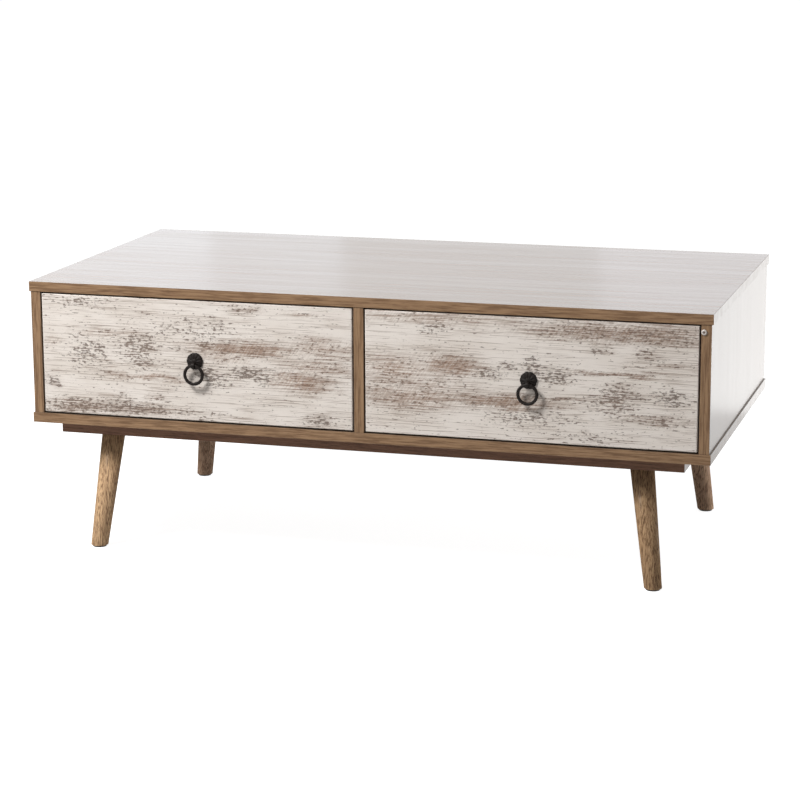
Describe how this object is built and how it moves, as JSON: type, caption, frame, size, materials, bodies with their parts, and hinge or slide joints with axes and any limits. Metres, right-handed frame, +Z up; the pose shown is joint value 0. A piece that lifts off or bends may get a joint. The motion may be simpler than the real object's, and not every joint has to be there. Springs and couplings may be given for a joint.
{
  "type": "coffee table with drawers",
  "caption": "Low rectangular coffee table: an oak-look case on splayed tapered legs, with side-by-side drawers that have distressed cream fronts and ring pulls.",
  "frame": {"origin": "on the floor, in the middle of the whole object's box", "axes": "+X to the right along the length, +Y to the back away from the drawers, +Z up"},
  "size_m": [1.1, 0.5818, 0.442],
  "materials": {
    "oak_laminate": "oak-look laminate on board, satin",
    "distressed_paint": "cream paint rubbed back to brown wood, matt",
    "back_board": "thin hardboard, matt",
    "leg_wood": "turned hardwood, satin lacquer",
    "rail_wood": "stained hardwood, satin",
    "drawer_board": "light laminated board, satin",
    "tongue_wood": "plain plywood",
    "runner_steel": "white baked enamel on folded sheet steel",
    "roller_plastic": "white nylon",
    "pull_iron": "dark antique finish, satin",
    "zinc_steel": "bright zinc plate",
    "glide_plastic": "black plastic",
    "bumper_plastic": "clear soft plastic"
  },
  "bodies": {
    "carcass": {"top_panel": "oak_laminate", "bottom_panel": "oak_laminate", "left_side_panel": "oak_laminate", "right_side_panel": "oak_laminate", "centre_divider": "oak_laminate", "back_panel": "back_board", "carcass_tongues": "tongue_wood", "front_leg_rail": "rail_wood", "rear_leg_rail": "rail_wood", "front_left_leg": "leg_wood", "front_right_leg": "leg_wood", "rear_left_leg": "leg_wood", "rear_right_leg": "leg_wood", "leg_hanger_bolts": "zinc_steel", "leg_glides": "glide_plastic", "edge_bumper": "bumper_plastic", "left_bay_left_runner": "runner_steel", "left_bay_right_runner": "runner_steel", "right_bay_left_runner": "runner_steel", "right_bay_right_runner": "runner_steel"},
    "left_drawer": {"left_drawer_front": "distressed_paint", "left_drawer_left_side": "drawer_board", "left_drawer_right_side": "drawer_board", "left_drawer_back": "drawer_board", "left_drawer_bottom": "back_board", "left_drawer_left_runner": "runner_steel", "left_drawer_right_runner": "runner_steel", "left_drawer_pull_rosette": "pull_iron", "left_drawer_pull_screw": "zinc_steel"},
    "left_ring": {"left_drawer_pull_ring": "pull_iron"},
    "left_bay_left_roller": {"left_bay_left_roller": "roller_plastic"},
    "left_bay_right_roller": {"left_bay_right_roller": "roller_plastic"},
    "left_drawer_left_roller": {"left_drawer_left_roller": "roller_plastic"},
    "left_drawer_right_roller": {"left_drawer_right_roller": "roller_plastic"},
    "right_drawer": {"right_drawer_front": "distressed_paint", "right_drawer_left_side": "drawer_board", "right_drawer_right_side": "drawer_board", "right_drawer_back": "drawer_board", "right_drawer_bottom": "back_board", "right_drawer_left_runner": "runner_steel", "right_drawer_right_runner": "runner_steel", "right_drawer_pull_rosette": "pull_iron", "right_drawer_pull_screw": "zinc_steel"},
    "right_ring": {"right_drawer_pull_ring": "pull_iron"},
    "right_bay_left_roller": {"right_bay_left_roller": "roller_plastic"},
    "right_bay_right_roller": {"right_bay_right_roller": "roller_plastic"},
    "right_drawer_left_roller": {"right_drawer_left_roller": "roller_plastic"},
    "right_drawer_right_roller": {"right_drawer_right_roller": "roller_plastic"}
  },
  "joints": [
    {"name": "left_drawer_slide", "type": "slide", "parent": "carcass", "child": "left_drawer", "axis": [0, -1, 0], "range_m": [0, 0.37]},
    {"name": "left_ring_swing", "type": "hinge", "parent": "left_drawer", "child": "left_ring", "pos_m": [-0.26975, -0.28613, 0.321], "axis": [-1, 0, 0], "range_deg": [-8, 170]},
    {"name": "left_bay_left_roller_spin", "type": "hinge", "parent": "carcass", "child": "left_bay_left_roller", "pos_m": [-0.5255, -0.24513, 0.2536], "axis": [1, 0, 0], "range_deg": [-10, 2370]},
    {"name": "left_bay_right_roller_spin", "type": "hinge", "parent": "carcass", "child": "left_bay_right_roller", "pos_m": [-0.014, -0.24513, 0.2536], "axis": [1, 0, 0], "range_deg": [-10, 2370]},
    {"name": "left_drawer_left_roller_spin", "type": "hinge", "parent": "left_drawer", "child": "left_drawer_left_roller", "pos_m": [-0.5255, 0.22937, 0.2533], "axis": [1, 0, 0], "range_deg": [-10, 2370]},
    {"name": "left_drawer_right_roller_spin", "type": "hinge", "parent": "left_drawer", "child": "left_drawer_right_roller", "pos_m": [-0.014, 0.22937, 0.2533], "axis": [1, 0, 0], "range_deg": [-10, 2370]},
    {"name": "right_drawer_slide", "type": "slide", "parent": "carcass", "child": "right_drawer", "axis": [0, -1, 0], "range_m": [0, 0.37]},
    {"name": "right_ring_swing", "type": "hinge", "parent": "right_drawer", "child": "right_ring", "pos_m": [0.26975, -0.28613, 0.321], "axis": [-1, 0, 0], "range_deg": [-8, 170]},
    {"name": "right_bay_left_roller_spin", "type": "hinge", "parent": "carcass", "child": "right_bay_left_roller", "pos_m": [0.014, -0.24513, 0.2536], "axis": [1, 0, 0], "range_deg": [-10, 2370]},
    {"name": "right_bay_right_roller_spin", "type": "hinge", "parent": "carcass", "child": "right_bay_right_roller", "pos_m": [0.5255, -0.24513, 0.2536], "axis": [1, 0, 0], "range_deg": [-10, 2370]},
    {"name": "right_drawer_left_roller_spin", "type": "hinge", "parent": "right_drawer", "child": "right_drawer_left_roller", "pos_m": [0.014, 0.22937, 0.2533], "axis": [1, 0, 0], "range_deg": [-10, 2370]},
    {"name": "right_drawer_right_roller_spin", "type": "hinge", "parent": "right_drawer", "child": "right_drawer_right_roller", "pos_m": [0.5255, 0.22937, 0.2533], "axis": [1, 0, 0], "range_deg": [-10, 2370]}
  ],
  "couplings": [
    {"joint": "left_bay_left_roller_spin", "follows": "left_drawer_slide", "rad_per_m": 111.11},
    {"joint": "left_bay_right_roller_spin", "follows": "left_drawer_slide", "rad_per_m": 111.11},
    {"joint": "left_drawer_left_roller_spin", "follows": "left_drawer_slide", "rad_per_m": 111.11},
    {"joint": "left_drawer_right_roller_spin", "follows": "left_drawer_slide", "rad_per_m": 111.11},
    {"joint": "right_bay_left_roller_spin", "follows": "right_drawer_slide", "rad_per_m": 111.11},
    {"joint": "right_bay_right_roller_spin", "follows": "right_drawer_slide", "rad_per_m": 111.11},
    {"joint": "right_drawer_left_roller_spin", "follows": "right_drawer_slide", "rad_per_m": 111.11},
    {"joint": "right_drawer_right_roller_spin", "follows": "right_drawer_slide", "rad_per_m": 111.11}
  ]
}
